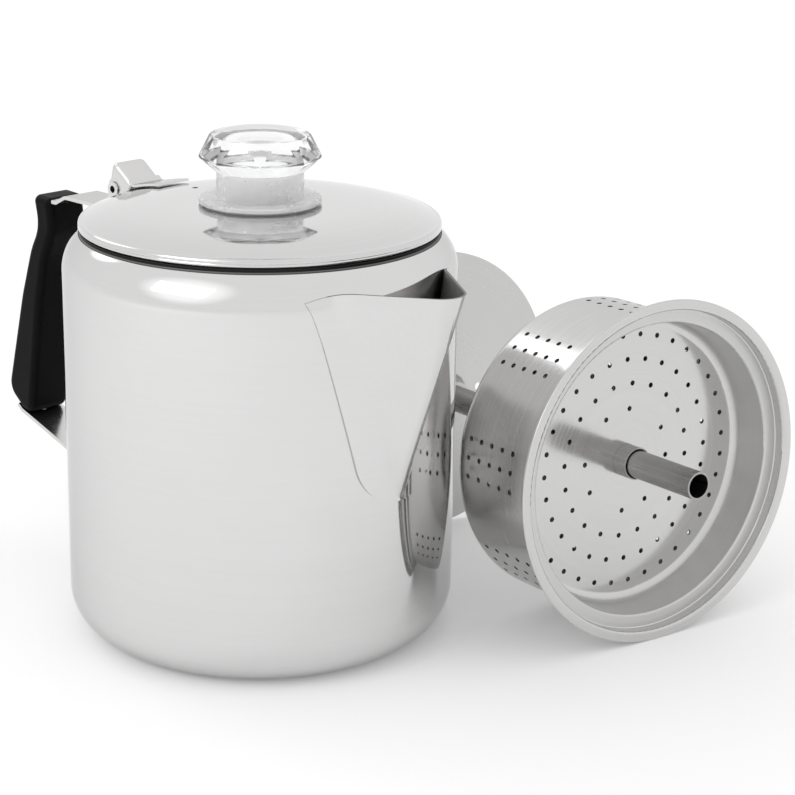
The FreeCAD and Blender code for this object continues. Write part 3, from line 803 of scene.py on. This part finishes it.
def make_pour_spout():
    """Sheet folded into a leaning V whose flanges hug the pot."""
    outer = spout_rows(0.0)
    inner = spout_rows(spout_sheet)
    verts, faces = skin_grid(outer)
    start = len(verts)
    inner_verts, inner_faces = skin_grid(inner)
    verts += inner_verts
    faces += [tuple(start + index for index in reversed(face)) for face in inner_faces]
    width = len(outer[0])
    last = (len(outer) - 1) * width
    for index in range(width - 1):
        faces.append((last + index, last + index + 1, start + last + index + 1, start + last + index))
        faces.append((index + 1, index, start + index, start + index + 1))
    for line in range(len(outer) - 1):
        for column in (0, width - 1):
            a = line * width + column
            b = a + width
            faces.append((a, b, start + b, start + a))
    return make_mesh("spout_shell", verts, faces, 50.0)


# ---- build -----------------------------------------------------------------------------
materials = make_materials()

pot = finish_piece(make_pot_body(), "pot_body", "pot", materials["polished"])
# painted shade: the pot's inside, neck and lip get the darkened inside steel
second_material(pot, materials["inside"], is_pot_inside)
# painted shadow: the top of the neck under the lid's rim is near black
second_material(pot, materials["shadow"], is_under_lid)
lid = finish_piece(make_lid_cover(), "lid_cover", "lid", materials["lid"])
knob = finish_piece(make_sight_knob(), "sight_knob", "knob", materials["clear"])
second_material(knob, materials["milky"], lambda centre: centre.z < girdle_height - 4.5)
spout = finish_piece(make_pour_spout(), "pour_spout", "pot", materials["spout"])
# painted shade: the spout's inner side gets the darkened throat steel
second_material(spout, materials["throat"], is_spout_inside)

for node in ("upper_strap", "lower_strap", "grip_screw", "hinge_bracket", "hinge_pin", "hinge_leaf"):
    paint(node, materials["satin"])
# painted shade: the lid's skirt gets the darkened inside steel
paint("lid_skirt", materials["inside"])
for node in ("basket_cup", "basket_sleeve"):
    paint(node, materials["drum"])
paint("spreader_plate", materials["spun"])
for node in ("pump_tube", "tube_collar", "spreader_collar"):
    paint(node, materials["tube"])
for node in ("pump_foot", "foot_ferrule"):
    paint(node, materials["foot"])
paint("handle_grip", materials["phenolic"])
paint("knob_gasket", materials["seal"])

# ---- floor, light and camera ------------------------------------------------------------
floor_half_size_m = 6.0
floor_tone = 0.85
floor_glow = 0.11
surroundings = 1.0
# azimuth, elevation, full and fading half angle in degrees, added strength
glows = ((0, 33, 12, 30, 0.42), (-88, 36, 5, 15, 1.6))
camera_place_m = (0.53383, -0.47977, 0.30495)
camera_heading = 45.57
camera_dip = 17.476
camera_roll = 0.565
camera_lens = 101.667
camera_shift_x = 0.055


def direction(azimuth, elevation):
    """Unit direction from the object; azimuth 0 is -Y and 90 is +X, both in degrees."""
    a = math.radians(azimuth)
    e = math.radians(elevation)
    return Vector((math.sin(a) * math.cos(e), -math.cos(a) * math.cos(e), math.sin(e)))


def make_floor():
    half = floor_half_size_m
    mesh = bpy.data.meshes.new("studio_floor")
    corners = [(-half, -half, 0), (half, -half, 0), (half, half, 0), (-half, half, 0)]
    mesh.from_pydata(corners, [], [(0, 1, 2, 3)])
    floor = bpy.data.objects.new("studio_floor", mesh)
    bpy.context.scene.collection.objects.link(floor)
    nodes = Nodes("pale_floor")
    nodes.shader.inputs["Base Color"].default_value = (floor_tone, floor_tone, floor_tone, 1.0)
    nodes.shader.inputs["Roughness"].default_value = 0.9
    nodes.shader.inputs["Specular IOR Level"].default_value = 0.1
    nodes.shader.inputs["Emission Color"].default_value = (1.0, 1.0, 1.0, 1.0)
    nodes.shader.inputs["Emission Strength"].default_value = floor_glow
    mesh.materials.append(nodes.material)


def make_panel(name, azimuth, elevation, distance_m, width_m, height_m, power):
    """Soft area light seen from the object at an azimuth and elevation, facing it."""
    light = bpy.data.lights.new(name, "AREA")
    light.shape = "RECTANGLE"
    light.size = width_m
    light.size_y = height_m
    light.energy = power
    lamp = bpy.data.objects.new(name, light)
    bpy.context.scene.collection.objects.link(lamp)
    out = direction(azimuth, elevation)
    target = (cad_box[0] + cad_box[1]) / 2
    lamp.location = target + out * distance_m
    lamp.rotation_mode = "QUATERNION"
    lamp.rotation_quaternion = (-out).to_track_quat("-Z", "Y")


def make_world():
    """Even white surroundings with two soft brighter areas."""
    world = bpy.data.worlds.new("studio")
    bpy.context.scene.world = world
    world.use_nodes = True
    tree = world.node_tree
    place = tree.nodes.new("ShaderNodeTexCoord").outputs["Generated"]
    total = None
    for azimuth, elevation, inner, outer, rise in glows:
        facing = tree.nodes.new("ShaderNodeVectorMath")
        facing.operation = "DOT_PRODUCT"
        facing.inputs[1].default_value = direction(azimuth, elevation)
        tree.links.new(place, facing.inputs[0])
        fade = tree.nodes.new("ShaderNodeMapRange")
        fade.interpolation_type = "SMOOTHSTEP"
        fade.inputs["From Min"].default_value = math.cos(math.radians(outer))
        fade.inputs["From Max"].default_value = math.cos(math.radians(inner))
        fade.inputs["To Min"].default_value = 0.0
        fade.inputs["To Max"].default_value = rise
        tree.links.new(facing.outputs["Value"], fade.inputs["Value"])
        added = tree.nodes.new("ShaderNodeMath")
        added.operation = "ADD"
        tree.links.new(fade.outputs["Result"], added.inputs[0])
        if total is None:
            added.inputs[1].default_value = surroundings
        else:
            tree.links.new(total, added.inputs[1])
        total = added.outputs["Value"]
    back = tree.nodes["Background"]
    back.inputs["Color"].default_value = (1.0, 1.0, 1.0, 1.0)
    tree.links.new(total, back.inputs["Strength"])


def make_camera():
    lens = bpy.data.cameras.new("camera")
    lens.sensor_width = 36.0
    lens.lens = camera_lens
    lens.shift_x = camera_shift_x
    camera = bpy.data.objects.new("camera", lens)
    bpy.context.scene.collection.objects.link(camera)
    camera.location = camera_place_m
    heading = Matrix.Rotation(math.radians(camera_heading), 4, "Z")
    pitch = Matrix.Rotation(math.radians(90 - camera_dip), 4, "X")
    roll = Matrix.Rotation(math.radians(camera_roll), 4, "Z")
    camera.rotation_mode = "QUATERNION"
    camera.rotation_quaternion = (heading @ pitch @ roll).to_quaternion()
    bpy.context.scene.camera = camera


make_floor()
make_world()
make_panel("front_softbox", -1, 33, 1.2, 0.62, 0.42, 1.7)
make_camera()
bpy.context.scene.view_settings.view_transform = "Standard"
